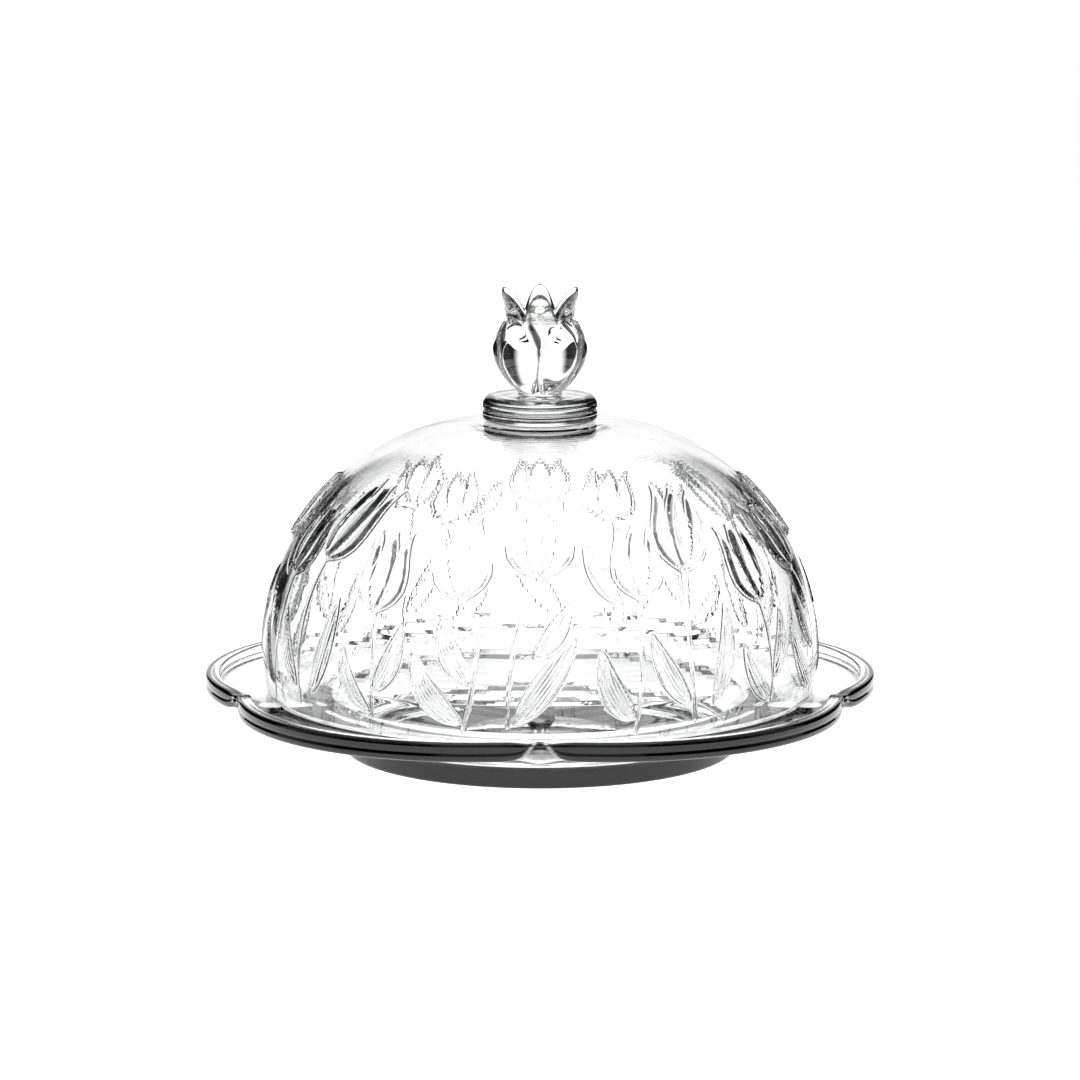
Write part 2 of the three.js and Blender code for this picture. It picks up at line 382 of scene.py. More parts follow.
# %% The bell's mesh
def spread(values, rest):
    """Carries the drawing's rows to the whole profile, with a plain value on the smooth rows."""
    head = np.full((len(before), COLUMNS), rest)
    tail = np.full((len(after), COLUMNS), rest)
    return np.concatenate([head, values, tail])


slope_r = np.gradient(outer_r)
slope_z = np.gradient(outer_z)
run = np.hypot(slope_r, slope_z)
normal_r, normal_z = slope_z / run, -slope_r / run
radius = np.repeat(profile_r[:, None], COLUMNS, axis=1)
height = np.repeat(profile_z[:, None], COLUMNS, axis=1)
radius += spread(bell_art["height"] * normal_r[:, None], 0.0)
height += spread(bell_art["height"] * normal_z[:, None], 0.0)
bell_layers = {layer: spread(bell_art[layer], REST[layer]) for layer in LAYERS}
bell = ring_mesh("dome_bell", radius, height, turn[None, :], bell_layers)
highest = round(float(bell_art["height"].max()), 2)
print("bell", len(bell.data.vertices), "points, relief up to", highest, "mm")

# %% [markdown]
# ## The plate
# One pressing again. A ring of five arcs makes the scalloped rim, the floor under the bell is flat, and the
# middle is sunk so that a cheese sits lower. The ring that it stands on is hollow inside. Where two arcs
# meet the mould is pinched to a small bud, which the same grid carries as a local swelling.

# %% Sizes of the plate
LOBES, LOBE_RADIUS, LOBE_CENTRE = 5, 87.0, 40.1
RIM_THICK, LIP = 6.8, 5.2
RECESS_TOP, RECESS_FLOOR, RECESS_DEPTH, FLOOR_THICK = 77.0, 67.5, 12.0, 5.6
FOOT_OUT, FOOT_IN, FOOT_Z = 73.0, 64.0, 7.4
KNEE, SEAT_THICK, UNDERSIDE = 85.0, 5.4, 106.0
CUSP_SOFT = 0.012
RIM_TOP = plate_high[2] / MM
RIM_LOW = RIM_TOP - RIM_THICK
RECESS_Z = SEAT - RECESS_DEPTH
HOLLOW_Z = RECESS_Z - FLOOR_THICK
plate_turn = np.linspace(0, 2 * np.pi, 720, endpoint=False)
fifth = 2 * np.pi / LOBES


def scallop(angles, arc_radius):
    """Distance from the axis to the ring of arcs. A cusp faces the front, at angle zero."""
    local = (angles % fifth) - fifth / 2
    soft = fifth / 2 - np.hypot(fifth / 2 - np.abs(local), CUSP_SOFT)
    along = LOBE_CENTRE * np.cos(soft)
    across = LOBE_CENTRE * np.sin(soft)
    return along + np.sqrt(arc_radius ** 2 - across ** 2)


cusp = float(scallop(np.array([0.0]), LOBE_RADIUS)[0])
cusp_in = float(scallop(np.array([0.0]), LOBE_RADIUS - LIP)[0])
print("cusp", round(cusp, 2), "mm from the axis, rim top", round(RIM_TOP, 2), "mm")

# %% The plate's section through a cusp
knee = [KNEE, SEAT - SEAT_THICK]
eave = [UNDERSIDE, RIM_LOW - 1.6]
well_foot = [cusp_in - 0.9, SEAT]
section = [[0, HOLLOW_Z], [FOOT_IN - 4.5, HOLLOW_Z]]
section += corner([0, HOLLOW_Z], [FOOT_IN - 0.6, HOLLOW_Z], [FOOT_IN, 0], 2.4)
section += corner([FOOT_IN, HOLLOW_Z], [FOOT_IN + 0.6, 0], [FOOT_OUT, 0], 1.1)
section += corner([FOOT_IN, 0], [FOOT_OUT, 0], [FOOT_OUT + 0.2, FOOT_Z], 1.3)
section += corner([FOOT_OUT, 0], [FOOT_OUT, FOOT_Z], knee, 1.6)
section += corner([FOOT_OUT, FOOT_Z], knee, eave, 5.0, 7)
section += corner(knee, eave, [cusp, RIM_LOW], 2.0)
section += corner(eave, [cusp, RIM_LOW], [cusp, RIM_TOP], 1.7)
section += [[cusp - 0.02, 22.6], [cusp - 0.35, 23.1], [cusp - 0.35, 23.6], [cusp - 0.02, 24.1]]
section += corner([cusp, RIM_LOW], [cusp, RIM_TOP], [cusp_in, RIM_TOP], 1.5)
section += [[cusp - 2.1, RIM_TOP + 0.05], [cusp - 2.6, RIM_TOP - 0.25], [cusp - 3.1, RIM_TOP + 0.05]]
section += corner([cusp, RIM_TOP], [cusp_in, RIM_TOP], well_foot, 1.3)
section += corner([cusp_in, RIM_TOP], well_foot, [RECESS_TOP, SEAT], 1.5)
section += corner([cusp_in, SEAT], [RECESS_TOP, SEAT], [RECESS_FLOOR, RECESS_Z], 1.5)
section += corner([RECESS_TOP, SEAT], [RECESS_FLOOR, RECESS_Z], [0, RECESS_Z], 2.2)
section = filled(section[1:], SPACING)
middle_rows = np.arange(38.0, 0.8, -0.75)
section = section[~((section[:, 0] < 38.5) & (section[:, 1] > RECESS_Z - 0.5))]
section = np.vstack([section, np.stack([middle_rows, np.full(len(middle_rows), RECESS_Z)], -1)])
print("plate section", len(section), "points")

# %% The lobes
plate_r = np.repeat(section[:, :1], len(plate_turn), axis=1)
plate_z = np.repeat(section[:, 1:], len(plate_turn), axis=1)
lobed = smooth_step(plate_r, 101.5, 108.5)
arc_radii = LOBE_RADIUS - (cusp - plate_r)
wanted = scallop(plate_turn[None, :], arc_radii) - scallop(np.zeros((1, 1)), arc_radii)
plate_r = plate_r + lobed * wanted
# The formula has no answer near the axis. Those points fall to the origin, which is a known fault.
print("plate out to", round(float(np.nanmax(plate_r)), 1), "mm,", int(np.isnan(plate_r).sum()), "points lost")

# %% The pinch, where the lip dips and swells to a bud at each meeting of two arcs
nearest = (plate_turn + fifth / 2) % fifth - fifth / 2
aside = nearest[None, :] * plate_r
section_row = np.arange(len(section))[:, None]
below_lip = section_row < np.argmax(section[:, 1] > RIM_TOP - 0.2)
is_top = smooth_step(plate_z, 22.4, 25.5) * smooth_step(plate_r, 106, 108)
dip = np.exp(-(aside / 7.5) ** 2) * 1.2 - np.exp(-(aside / 2.3) ** 2) * 1.0
plate_z = plate_z - is_top * dip
skirt = smooth_step(plate_r, 109, 112) * below_lip
drop = np.clip((RIM_TOP - plate_z) / (RIM_TOP - RIM_LOW), 0, 1.2)
plate_z = plate_z + skirt * (drop * 4.0 * np.exp(-(aside / 6.0) ** 2))
bud = 1.6 * np.exp(-(aside / 2.2) ** 2) * np.exp(-((plate_z - 24.2) / 1.7) ** 2)
plate_r = plate_r + skirt * bud
keel = np.exp(-(aside / 4.0) ** 2) * smooth_step(plate_z, 4, 16) * smooth_step(plate_r, 74, 96)
keel = keel * (1 - smooth_step(plate_r, 104, 110))
plate_z = plate_z - keel * 0.8 * (plate_z < RIM_LOW - 0.5)
print("bud stands out", round(float(np.nanmax(skirt * bud)), 2), "mm")

# %% A larger tulip in the sunk middle, with a leaf to each side of its stem
plate_art = blank(plate_r.shape)
east = plate_r * np.sin(plate_turn)[None, :]
north = -plate_r * np.cos(plate_turn)[None, :]
ribbon(plate_art, east, north, [(0.5, -31.0), (-11.0, -24.0), (-18.5, -10.0)], 4.2, 0.8, True)
ribbon(plate_art, east, north, [(1.5, -31.0), (9.0, -22.0), (11.5, -6.0)], 4.6, 0.8, True)
tulip(plate_art, east, north, (4.8, 1.0), (8.5, 31.0), 10.5, 1.2)
ribbon(plate_art, east, north, [(1.0, -33.0), (0.0, -16.0), (5.0, 2.0)], 1.6, 0.8, False)
on_floor = (section_row >= len(section) - len(middle_rows)).astype(float)
plate_z = plate_z + on_floor * plate_art["height"] * 0.8
print("middle relief up to", round(float((on_floor * plate_art["height"]).max()) * 0.8, 2), "mm")

# %% Where the plate is painted nearly black, as painted shade
top_edge = np.argmax((section[:, 1] > RIM_TOP - 0.1) & (section[:, 0] < cusp - 1.9))
outer_rows = section_row < top_edge
# Painted shade: a dark band on the outer edge of the rim and round the outer side of the foot.
painted_shade = smooth_step(plate_r, 109, 111) * smooth_step(plate_z, 18.0, 19.4) * outer_rows
foot_side = smooth_step(plate_r, FOOT_OUT - 1.2, FOOT_OUT - 0.4)
foot_side = foot_side * (1 - smooth_step(plate_z, FOOT_Z - 1.0, FOOT_Z + 0.6))
painted_shade = np.maximum(painted_shade, foot_side * (plate_r < FOOT_OUT + 3))
# Painted shade is lifted along a thin line beside each cusp, and a dark patch is painted at each cusp below
# the lip.
curtain_line = 1.4 + 0.8 * np.clip(RIM_TOP - plate_z, 0, 8)
curtain = np.exp(-((np.abs(aside) - curtain_line) / 0.6) ** 2) * (plate_r > 109)
painted_shade = painted_shade * (1 - 0.8 * curtain)
tied = 0.75 * np.exp(-(aside / 5.5) ** 2) * smooth_step(plate_r, 98, 106) * (plate_z < RIM_TOP - 2.5)
painted_shade = np.maximum(painted_shade, tied * (1 - curtain) * outer_rows)
painted_shade = 1 - (1 - painted_shade) ** 2
print("share of the plate's points that are dark", round(float((painted_shade > 0.5).mean()), 3))

# %% The plate's mesh
plate_layers = {layer: np.where(on_floor > 0, plate_art[layer], REST[layer]) for layer in LAYERS}
plate_layers["painted_shade"] = painted_shade
plate_piece = ring_mesh("plate_scalloped", plate_r, plate_z, plate_turn[None, :], plate_layers)
print("plate", len(plate_piece.data.vertices), "points")

# %% [markdown]
# ## The knob
# A disc collar, a short neck and an open tulip with six pointed petals. It is a turned bulb whose surface
# sinks between the petals, and whose mouth is cut down to a notch there. The disc has a fine turned line
# round its edge, which is drawn only as painted shade: a dark line near the bottom and the top of the disc.

# %% The knob's profile
COLLAR = 5.2
PETALS = 6
KNOB_SPACING = 1.3
TIP = knob_high[2] / MM
knob_base = knob_low[2] / MM
knob_turn = np.linspace(0, 2 * np.pi, 300, endpoint=False)
collar_top = knob_base + COLLAR
outside = [[8, knob_base], [16, knob_base]]
outside += corner([0, knob_base], [BOSS, knob_base], [BOSS, collar_top], 1.2)
outside += corner([BOSS, knob_base + 1], [BOSS - 0.3, collar_top], [8, collar_top + 0.1], 3.7, 9)
outside += [[14.0, collar_top - 0.1], [9.6, collar_top + 0.05], [8.2, collar_top + 0.3]]
bulb_z = [0.6, 1.8, 3.7, 7.2, 11.4, 15.0, 18.0, 21.5, 24.5, 27.5, 30.2, 34.5, 38.9]
bulb_r = [7.6, 8.4, 10.6, 13.4, 15.7, 16.7, 16.9, 16.4, 15.4, 14.2, 13.8, 14.9, 17.0]
fine = np.linspace(bulb_z[0], bulb_z[-1], 64)
kernel = np.hanning(9) / np.hanning(9).sum()
soft_r = np.convolve(np.pad(np.interp(fine, bulb_z, bulb_r), 4, mode="edge"), kernel, mode="valid")
wall_out = [[r, collar_top + z] for r, z in zip(soft_r, fine)]
cup_r = [14.9, 13.4, 11.6, 10.0, 8.4, 6.0, 3.0]
cup_depth = [0.35, 2.0, 4.8, 8.0, 10.8, 12.6, 13.2]
wall_in = [[r, TIP - depth] for r, depth in zip(cup_r, cup_depth)]
lip_in = corner(wall_out[-1], [16.7, TIP + 0.1], wall_in[0], 0.4, 3)
knob_profile = filled(outside + wall_out + lip_in + wall_in, KNOB_SPACING)
print("knob profile", len(knob_profile), "points")

# %% Six inner petals, parted by notches and furrows
knob_r = np.repeat(knob_profile[:, :1], len(knob_turn), axis=1)
knob_z = np.repeat(knob_profile[:, 1:], len(knob_turn), axis=1)
ridge = np.abs(np.cos(PETALS / 2 * knob_turn))[None, :]
climb = np.clip((knob_z - collar_top) / (TIP - collar_top), 0, 1)
mouth = np.clip((knob_z - (TIP - 14)) / 14, 0, 1)
turned = np.arange(len(knob_profile))[:, None]
first_out = len(knob_profile) - len(filled(wall_out + lip_in + wall_in, KNOB_SPACING))
last_out = int(np.argmax(knob_profile[:, 1]))
outside_wall = (turned >= first_out) & (turned <= last_out)
knob_z = knob_z - 9.8 * mouth * (1 - ridge ** 1.2)
old_wall = np.array(wall_out)
drop_r = np.interp(knob_z, old_wall[:, 1], old_wall[:, 0])
knob_r = np.where(outside_wall, drop_r, knob_r)
inner_line = np.array(wall_in[::-1])
inner_r_at = np.interp(knob_z, inner_line[:, 1], inner_line[:, 0])
knob_r = np.where((turned > last_out) & (knob_r > 3.5), np.minimum(inner_r_at, drop_r - 0.7), knob_r)
sink = 2.4 * (1 - ridge) ** 1.3 * np.sin(np.pi * climb ** 0.8) ** 0.8
sink = sink * smooth_step(knob_z, collar_top + 17, collar_top + 27)
knob_r = knob_r - np.where(outside_wall, sink, 0.4 * sink * (knob_r > 6))
print("furrows sink up to", round(float(sink.max()), 2), "mm")

# %% The outer row of petals: each is an egg with a point, and covers a gap of the row behind
PETAL_LONG, PETAL_GAP = 28.0, 60
share = np.clip((knob_z - collar_top) / PETAL_LONG, 0, 1)
petal_share = [0, 0.12, 0.3, 0.5, 0.68, 0.84, 0.94, 1.0]
petal_half = [20, 26, 30.5, 30.5, 26.5, 17, 8, 0]
half_angle = np.interp(share, petal_share, petal_half)
lean = 5 - 12 * (1 - share)
off_centre = ((np.degrees(knob_turn)[None, :] - lean) % PETAL_GAP) - PETAL_GAP / 2
inset = np.radians(half_angle - np.abs(off_centre)) * knob_r
rounded = np.sqrt(np.clip(1 - (off_centre / 34.0) ** 2, 0, 1))
petal_rise = (0.5 + 1.5 * rounded) * smooth_step(inset, -0.1, 1.3) * (knob_z < collar_top + PETAL_LONG)
grown = (petal_rise - 1.3) * smooth_step(knob_z, collar_top, collar_top + 3)
knob_r = knob_r + np.where(outside_wall, grown, 0)
print("bulb radius", round(float(knob_r[outside_wall[:, 0]].max()), 2), "mm")

# %% Painted shade: black beside each outer petal, along the lip and round the collar
beside = smooth_step(inset, -3.4, -2.0) * (1 - smooth_step(inset, 0.2, 0.9)) * smooth_step(off_centre, 2, 8)
beside *= outside_wall * smooth_step(share, 0.12, 0.25) * (1 - smooth_step(share, 0.97, 1.05))
lip = 1 - smooth_step(knob_z[last_out][None, :] - knob_z, 0.9, 2.2)
lip = lip * ((turned >= first_out) & (turned <= last_out + 3))
# Painted shade: dark lines near the bottom and the top of the disc collar.
low_line = np.exp(-((knob_z - knob_base - 0.7) / 0.45) ** 2)
high_line = np.exp(-((knob_z - collar_top + 0.5) / 0.4) ** 2)
collar_edge = (low_line + high_line) * (knob_r > BOSS - 3.5)
knob_painted_shade = np.clip(np.maximum(0.92 * beside, np.maximum(0.8 * lip, 0.75 * collar_edge)), 0, 1)
knob_painted_shade = 1 - (1 - knob_painted_shade) ** 2
knob_piece = ring_mesh("knob_tulip", knob_r, knob_z, knob_turn[None, :], {"painted_shade": knob_painted_shade})
print("knob", len(knob_piece.data.vertices), "points, top at", round(float(knob_z.max()), 2), "mm")

# %% [markdown]
# ## The bond
# A clear film holds the collar to the boss. It could be left out, since it is nearly invisible, but the
# light crosses two more faces there. It is drawn as a thin disc, slightly smaller than the boss, with a
# small bead at the edge where it was pressed out.

# %% The film
film_turn = np.linspace(0, 2 * np.pi, 120, endpoint=False)
FILM_CLEAR, BOND_INSET = 0.02, 0.8
film_r = BOSS - BOSS_ROUND - BOND_INSET
film_low, film_high = BOSS_TOP + FILM_CLEAR, knob_base - FILM_CLEAR
film_edge = [[film_r - 0.12, film_low], [film_r, film_low + 0.06], [film_r, film_high - 0.06]]
film_profile = [[7, film_low], [14, film_low]] + film_edge
film_profile = np.array(film_profile + [[film_r - 0.12, film_high], [14, film_high], [7, film_high]])
wave = 1 + 0.004 * np.sin(3 * film_turn) + 0.003 * np.sin(7 * film_turn + 1)
film_grid_r = film_profile[:, :1] * wave[None, :]
film_grid_z = np.repeat(film_profile[:, 1:], len(film_turn), axis=1)
film_piece = ring_mesh("knob_bond_film", film_grid_r, film_grid_z, film_turn[None, :])
print("film", round(film_high - film_low, 3), "mm thick")

# %% [markdown]
# ## Which piece stands for which part
# Each glass piece takes the place of one plain part of the frame, and moves with its body. The knob and the
# film move with the bell, because they are bonded to it.

# %% Places in the frame
PLACES = (
    (plate_piece, "plate", "plate", "plate_glass"),
    (bell, "dome", "dome", "dome_glass"),
    (film_piece, "knob_bond", "dome", "clear_bond"),
    (knob_piece, "knob", "dome", "knob_glass"),
)
for piece, node, body, slot in PLACES:
    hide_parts(node)
    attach(piece, body)
    print(piece.name, "stands for", node, "on", body)

# %% [markdown]
# ## The glass
# Colourless pressed glass is fire-polished: a flame softens the skin, which leaves a gentle waviness and a
# few faint chill marks. One shared group makes that surface. The relief has a group of its own, which turns
# the drawing's distances into fine ribs and crisp petal edges.

# %% Node helpers
def group_tree(name, inputs, outputs):
    tree = bpy.data.node_groups.new(name, "ShaderNodeTree")
    for label, kind, value in inputs:
        socket = tree.interface.new_socket(label, in_out="INPUT", socket_type=kind)
        if value is not None:
            socket.default_value = value
    for label, kind in outputs:
        tree.interface.new_socket(label, in_out="OUTPUT", socket_type=kind)
    return tree, tree.nodes.new("NodeGroupInput"), tree.nodes.new("NodeGroupOutput")


def calculate(tree, operation, *values):
    node = tree.nodes.new("ShaderNodeMath")
    node.operation = operation
    for index, value in enumerate(values):
        if isinstance(value, (int, float)):
            node.inputs[index].default_value = value
        else:
            tree.links.new(value, node.inputs[index])
    return node.outputs[0]


def noise(tree, vector, scale, detail, roughness=0.5):
    node = tree.nodes.new("ShaderNodeTexNoise")
    node.inputs["Scale"].default_value = scale
    node.inputs["Detail"].default_value = detail
    node.inputs["Roughness"].default_value = roughness
    tree.links.new(vector, node.inputs["Vector"])
    return node.outputs["Fac"]


def falloff(tree, distance, width):
    """One on a line, falling off softly to each side of it."""
    share = calculate(tree, "DIVIDE", distance, width)
    square = calculate(tree, "MULTIPLY", share, share)
    return calculate(tree, "EXPONENT", calculate(tree, "MULTIPLY", square, -1.0))


print("helpers", [helper.__name__ for helper in (group_tree, calculate, noise, falloff)])

# %% The flame-polished skin
polish, polish_in, polish_out = group_tree(
    "FirePolish",
    [("Wave", "NodeSocketFloat", 1.0), ("Base Roughness", "NodeSocketFloat", 0.01)],
    [("Height", "NodeSocketFloat"), ("Roughness", "NodeSocketFloat")],
)
where = polish.nodes.new("ShaderNodeTexCoord").outputs["Object"]
broad = noise(polish, where, 38.0, 2.0)
small = noise(polish, where, 210.0, 2.0)
chill = noise(polish, where, 90.0, 4.0, 0.65)
marks = polish.nodes.new("ShaderNodeMapRange")
marks.inputs["From Min"].default_value = 0.56
marks.inputs["From Max"].default_value = 0.78
polish.links.new(chill, marks.inputs["Value"])
swell = calculate(polish, "MULTIPLY_ADD", small, 0.12, broad)
polish.links.new(calculate(polish, "MULTIPLY", swell, polish_in.outputs["Wave"]), polish_out.inputs["Height"])
rough = calculate(polish, "MULTIPLY_ADD", marks.outputs[0], 0.035, polish_in.outputs["Base Roughness"])
polish.links.new(rough, polish_out.inputs["Roughness"])
print("polish gives", [item.name for item in polish.interface.items_tree if item.in_out == "OUTPUT"])

# %% Ribs, veins and edges of the relief
EDGE_WIDTH, VEIN_WIDTH, RIB_GAP = 0.42, 0.5, 1.25
EDGE_HEIGHT, VEIN_HEIGHT, RIB_HEIGHT = 0.45, 0.35, 0.13
relief, relief_in, relief_out = group_tree(
    "PressedRelief",
    [("Outline", "NodeSocketFloat", FAR_AWAY), ("Across", "NodeSocketFloat", 0.0),
     ("Leaf", "NodeSocketFloat", -1.0), ("Vein", "NodeSocketFloat", FAR_AWAY),
     ("Vein Mask", "NodeSocketFloat", 0.0)],
    [("Height", "NodeSocketFloat"), ("Leaf Mask", "NodeSocketFloat"), ("Edge Mask", "NodeSocketFloat")],
)
edge = falloff(relief, relief_in.outputs["Outline"], EDGE_WIDTH)
leaf_area = relief.nodes.new("ShaderNodeMapRange")
leaf_area.inputs["From Min"].default_value = 0.15
leaf_area.inputs["From Max"].default_value = 0.6
relief.links.new(relief_in.outputs["Leaf"], leaf_area.inputs["Value"])
rib_turn = calculate(relief, "MULTIPLY", relief_in.outputs["Across"], 2 * math.pi / RIB_GAP)
rib = calculate(relief, "MULTIPLY_ADD", calculate(relief, "COSINE", rib_turn), 0.5, 0.5)
ribs = calculate(relief, "MULTIPLY", rib, leaf_area.outputs[0])
vein = falloff(relief, relief_in.outputs["Vein"], VEIN_WIDTH)
vein = calculate(relief, "MULTIPLY", vein, relief_in.outputs["Vein Mask"])
total = calculate(relief, "MULTIPLY", ribs, RIB_HEIGHT)
total = calculate(relief, "MULTIPLY_ADD", edge, EDGE_HEIGHT, total)
total = calculate(relief, "MULTIPLY_ADD", vein, VEIN_HEIGHT, total)
relief.links.new(total, relief_out.inputs["Height"])
relief.links.new(leaf_area.outputs[0], relief_out.inputs["Leaf Mask"])
relief.links.new(edge, relief_out.inputs["Edge Mask"])
print("shared groups", [tree.name for tree in (polish, relief)])

# %% Reading the drawing and bumping the skin
def attribute(tree, name):
    node = tree.nodes.new("ShaderNodeAttribute")
    node.attribute_name = name
    return node.outputs["Fac"]


def bump(tree, height, distance, strength=1.0, normal=None):
    node = tree.nodes.new("ShaderNodeBump")
    node.inputs["Strength"].default_value = strength
    node.inputs["Distance"].default_value = distance
    tree.links.new(height, node.inputs["Height"])
    if normal is not None:
        tree.links.new(normal, node.inputs["Normal"])
    return node.outputs["Normal"]


def drawn_skin(tree, normal, roughness, leaf_roughness):
    """Adds the pressed drawing's ribs and edges to a skin."""
    lines = tree.nodes.new("ShaderNodeGroup")
    lines.node_tree = relief
    for layer in LAYERS:
        socket = layer.replace("_", " ").title()
        tree.links.new(attribute(tree, layer), lines.inputs[socket])
    normal = bump(tree, lines.outputs["Height"], 0.001, 0.9, normal)
    return normal, calculate(tree, "MULTIPLY_ADD", lines.outputs["Leaf Mask"], leaf_roughness, roughness)


def with_painted_shade(tree, colour, painted_shade_tone):
    """Paints the marked places nearly black, as painted shade, but only for rays straight from the camera."""
    shade_mix = tree.nodes.new("ShaderNodeMix")
    shade_mix.data_type = "RGBA"
    shade_mix.inputs[7].default_value = (painted_shade_tone, painted_shade_tone, painted_shade_tone, 1)
    seen_first = tree.nodes.new("ShaderNodeLightPath").outputs["Is Camera Ray"]
    tree.links.new(calculate(tree, "MULTIPLY", attribute(tree, "painted_shade"), seen_first), shade_mix.inputs[0])
    tree.links.new(colour, shade_mix.inputs[6])
    return shade_mix.outputs[2]


print("layers of the drawing that the glass reads", LAYERS)

# %% One recipe for all the glass
def glass(name, ior, wave, base_roughness, clear, grazing_shade_tone, drawing=None, painted_shade_tone=None, gleam=0.2):
    """Colourless glass. Its colour is painted darker towards the grazing rim of each surface, as painted
    shade for dark outlines.
    """
    material = bpy.data.materials.new(name)
    material.use_nodes = True
    tree = material.node_tree
    tree.nodes.clear()
    output = tree.nodes.new("ShaderNodeOutputMaterial")
    shader = tree.nodes.new("ShaderNodeBsdfPrincipled")
    shader.inputs["Metallic"].default_value = 0.0
    shader.inputs["Transmission Weight"].default_value = 1.0
    shader.inputs["IOR"].default_value = ior
    shader.inputs["Specular IOR Level"].default_value = gleam
    surface = tree.nodes.new("ShaderNodeGroup")
    surface.node_tree = polish
    surface.inputs["Wave"].default_value = wave
    surface.inputs["Base Roughness"].default_value = base_roughness
    normal = bump(tree, surface.outputs["Height"], 0.0006, 0.5)
    roughness = surface.outputs["Roughness"]
    if drawing is not None:
        normal, roughness = drawn_skin(tree, normal, roughness, drawing)
    # Painted shade: the base colour turns to the grazing shade tone where the surface is seen edge-on.
    grazing = tree.nodes.new("ShaderNodeLayerWeight")
    grazing.inputs["Blend"].default_value = 0.5
    grazing_shade = calculate(tree, "POWER", grazing.outputs["Facing"], 8.0)
    tone = tree.nodes.new("ShaderNodeMix")
    tone.data_type = "RGBA"
    tone.inputs[6].default_value = (*clear, 1)
    tone.inputs[7].default_value = (*grazing_shade_tone, 1)
    tree.links.new(grazing_shade, tone.inputs[0])
    colour = tone.outputs[2]
    # Painted shade: the marked places turn near black, for camera rays only.
    if painted_shade_tone is not None:
        colour = with_painted_shade(tree, colour, painted_shade_tone)
    tree.links.new(colour, shader.inputs["Base Color"])
    tree.links.new(roughness, shader.inputs["Roughness"])
    tree.links.new(normal, shader.inputs["Normal"])
    tree.links.new(shader.outputs[0], output.inputs["Surface"])
    return material


PRESSED_GLASS = 1.52
CURED_FILM = 1.48
# The second colour of each glass below is the painted shade at its grazing rim.
bell_look = glass(
    "bell_glass", PRESSED_GLASS, 0.35, 0.004, (0.995, 0.997, 0.996), (0.2, 0.21, 0.21), drawing=0.07
)
plate_look = glass(
    "plate_glass_look", PRESSED_GLASS, 0.05, 0.004, (0.99, 0.995, 0.993), (0.8, 0.82, 0.82),
    drawing=0.0, painted_shade_tone=0.00001, gleam=0.05,
)
knob_look = glass(
    "knob_glass_look", PRESSED_GLASS, 0.12, 0.003, (0.99, 0.995, 0.993), (0.1, 0.11, 0.11),
    painted_shade_tone=0.0004,
)
film_look = glass("bond_look", CURED_FILM, 0.3, 0.02, (0.985, 0.985, 0.97), (0.8, 0.8, 0.78))
LOOKS = ((bell, bell_look), (plate_piece, plate_look), (knob_piece, knob_look), (film_piece, film_look))
for piece, look in LOOKS:
    piece.data.materials.append(look)
    print(piece.name, "is made of", look.name)

# %% [markdown]
# ## The studio
# Clear glass shows only by what it bends. It could stand in an evenly white room, but then its edges would
# vanish. So the room is white straight ahead, dimmer behind the viewer and to each side, dark in its four
# corners and half lit above. The body of the glass then stays bright, and every edge or petal that bends the
# view far enough to reach a corner draws itself as a dark line.

# %% The lit floor
def plain(name, colour, glow):
    material = bpy.data.materials.new(name)
    material.use_nodes = True
    tree = material.node_tree
    shader = tree.nodes["Principled BSDF"]
    shader.inputs["Base Color"].default_value = (*colour, 1)
    shader.inputs["Roughness"].default_value = 0.9
    shader.inputs["Emission Color"].default_value = (1, 1, 1, 1)
    shader.inputs["Emission Strength"].default_value = glow
    where_node = tree.nodes.new("ShaderNodeTexCoord")
    grain = noise(tree, where_node.outputs["Object"], 60.0, 3.0)
    soft = bump(tree, grain, 0.0004, 0.2)
    tree.links.new(soft, shader.inputs["Normal"])
    return material


STRIP_HALF, STRIP_LONG = 0.36, 2.6
strip = [(-STRIP_HALF, -STRIP_LONG, -0.0002), (STRIP_HALF, -STRIP_LONG, -0.0002)]
strip += [(STRIP_HALF, STRIP_LONG, -0.0002), (-STRIP_HALF, STRIP_LONG, -0.0002)]
floor_mesh = bpy.data.meshes.new("studio_floor")
floor_mesh.from_pydata(strip, [], [[0, 1, 2, 3]])
floor = bpy.data.objects.new("studio_floor", floor_mesh)
bpy.context.collection.objects.link(floor)
floor_mesh.materials.append(plain("floor_paper", (0.9, 0.9, 0.9), 1.1))
print("floor strip", 2 * STRIP_HALF, "by", 2 * STRIP_LONG, "m")

# %% The lamp overhead
def softbox(name, place, target, size_x, size_y, energy):
    data = bpy.data.lights.new(name, "AREA")
    data.shape = "RECTANGLE"
    data.size, data.size_y = size_x, size_y
    data.energy = energy
    lamp = bpy.data.objects.new(name, data)
    lamp.location = place
    lamp.rotation_euler = (Vector(target) - Vector(place)).to_track_quat("-Z", "Y").to_euler()
    bpy.context.collection.objects.link(lamp)
    return lamp

lamp = softbox("overhead", (0.0, -0.1, 1.5), (0, 0, 0.05), 0.8, 0.8, 5)
print(lamp.name, lamp.data.energy, "W")

# %% The walls of the room
def eased(tree, value, low, high, at_low=0.0, at_high=1.0):
    """A soft change from one brightness to another."""
    node = tree.nodes.new("ShaderNodeMapRange")
    node.interpolation_type = "SMOOTHSTEP"
    node.inputs["From Min"].default_value = low
    node.inputs["From Max"].default_value = high
    node.inputs["To Min"].default_value = at_low
    node.inputs["To Max"].default_value = at_high
    tree.links.new(value, node.inputs["Value"])
    return node.outputs[0]


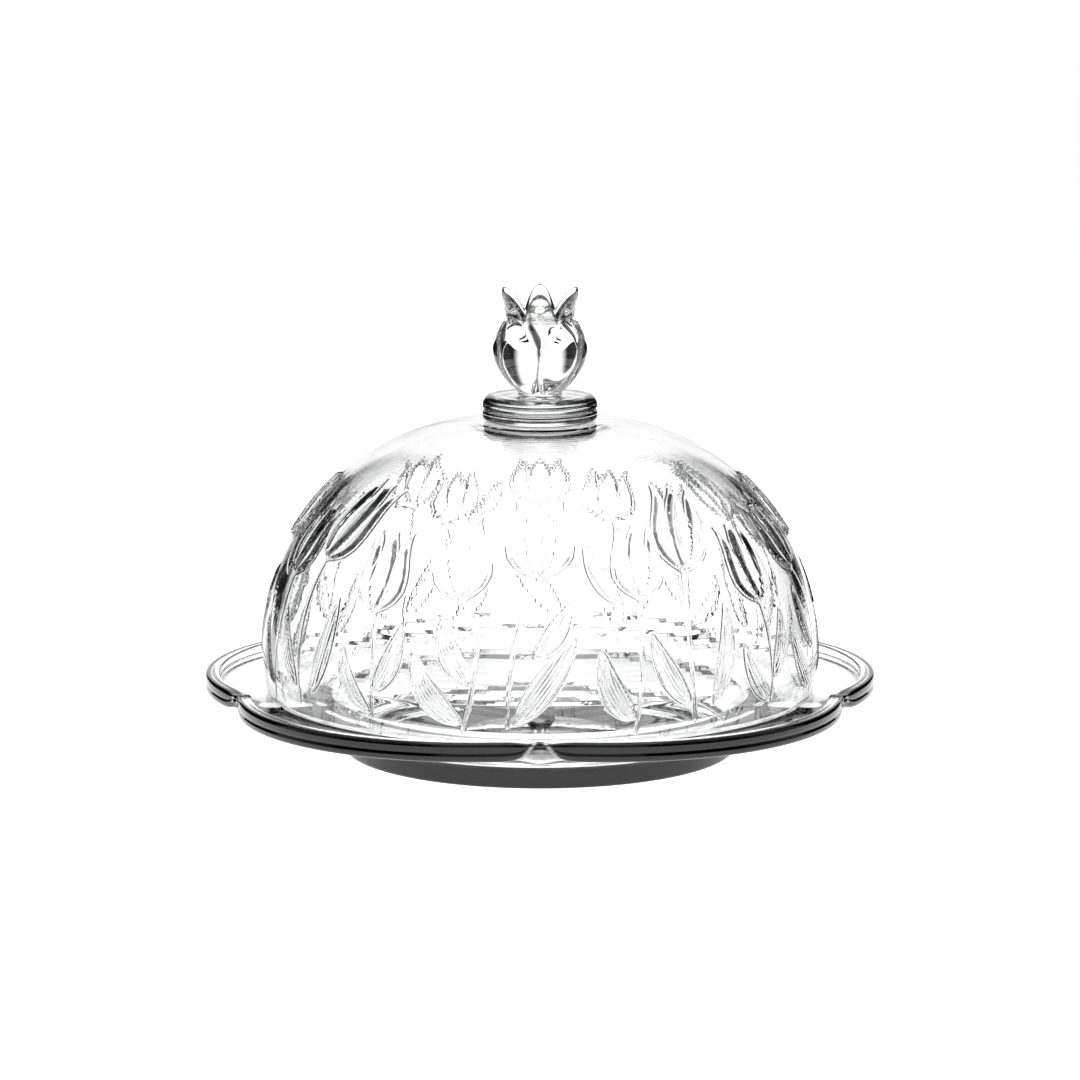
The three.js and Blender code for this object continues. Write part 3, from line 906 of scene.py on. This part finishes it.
world = bpy.data.worlds.new("studio_room")
world.use_nodes = True
tree = world.node_tree
tree.nodes.clear()
direction = tree.nodes.new("ShaderNodeSeparateXYZ")
tree.links.new(tree.nodes.new("ShaderNodeTexCoord").outputs["Generated"], direction.inputs[0])
sideways, forward, upward = direction.outputs
squares = [calculate(tree, "POWER", calculate(tree, "ABSOLUTE", way), 2.0) for way in (sideways, forward)]
flat = calculate(tree, "ADD", calculate(tree, "ADD", squares[0], squares[1]), 0.0001)
doubled = calculate(tree, "MULTIPLY", calculate(tree, "MULTIPLY", sideways, forward), 2.0)
diagonal = calculate(tree, "ABSOLUTE", calculate(tree, "DIVIDE", doubled, flat))
panels = eased(tree, diagonal, 0.48, 0.7, 1.4, 0.02)
near_wall = eased(tree, forward, -0.25, 0.15, 0.3, 1.0)
ahead = calculate(tree, "MULTIPLY_ADD", calculate(tree, "DIVIDE", squares[1], flat), 0.72, 0.28)
walls = calculate(tree, "MULTIPLY", calculate(tree, "MULTIPLY", panels, near_wall), ahead)
CEILING = 0.45
above = calculate(tree, "SUBTRACT", CEILING, walls)
overhead = eased(tree, upward, 0.55, 0.85)
strength = calculate(tree, "MULTIPLY_ADD", above, overhead, walls)
print("room nodes", len(tree.nodes))

# %% The room as the glass sees it, and the white ground behind
room = tree.nodes.new("ShaderNodeBackground")
tree.links.new(strength, room.inputs["Strength"])
ground = tree.nodes.new("ShaderNodeBackground")
ground.inputs["Color"].default_value = (1, 1, 1, 1)
ground.inputs["Strength"].default_value = 1.0
mix = tree.nodes.new("ShaderNodeMixShader")
tree.links.new(tree.nodes.new("ShaderNodeLightPath").outputs["Is Camera Ray"], mix.inputs[0])
tree.links.new(room.outputs[0], mix.inputs[1])
tree.links.new(ground.outputs[0], mix.inputs[2])
out = tree.nodes.new("ShaderNodeOutputWorld")
tree.links.new(mix.outputs[0], out.inputs["Surface"])
bpy.context.scene.world = world
bpy.context.scene.view_settings.view_transform = "Standard"
print("room", world.name)

# %% [markdown]
# ## The camera
# A long lens, a little above the table, looking level with the middle of the bell. It stands about 1.8 m
# away, so the plate's ellipse stays shallow.

# %% The lens and its place
PITCH, DISTANCE = math.radians(10.07), 1.833
AIM_HEIGHT = 0.0779
SENSOR, FRAME_WIDTH = 36.0, 0.4
aim = Vector((AXIS_X, AXIS_Y, AIM_HEIGHT))
camera_data = bpy.data.cameras.new("studio_camera")
camera_data.sensor_width = SENSOR
camera_data.lens = SENSOR * DISTANCE / FRAME_WIDTH
camera = bpy.data.objects.new("studio_camera", camera_data)
camera.location = aim + DISTANCE * Vector((0, -math.cos(PITCH), math.sin(PITCH)))
camera.rotation_euler = (aim - camera.location).to_track_quat("-Z", "Y").to_euler()
bpy.context.collection.objects.link(camera)
bpy.context.scene.camera = camera
print("lens", round(camera_data.lens, 1), "mm")
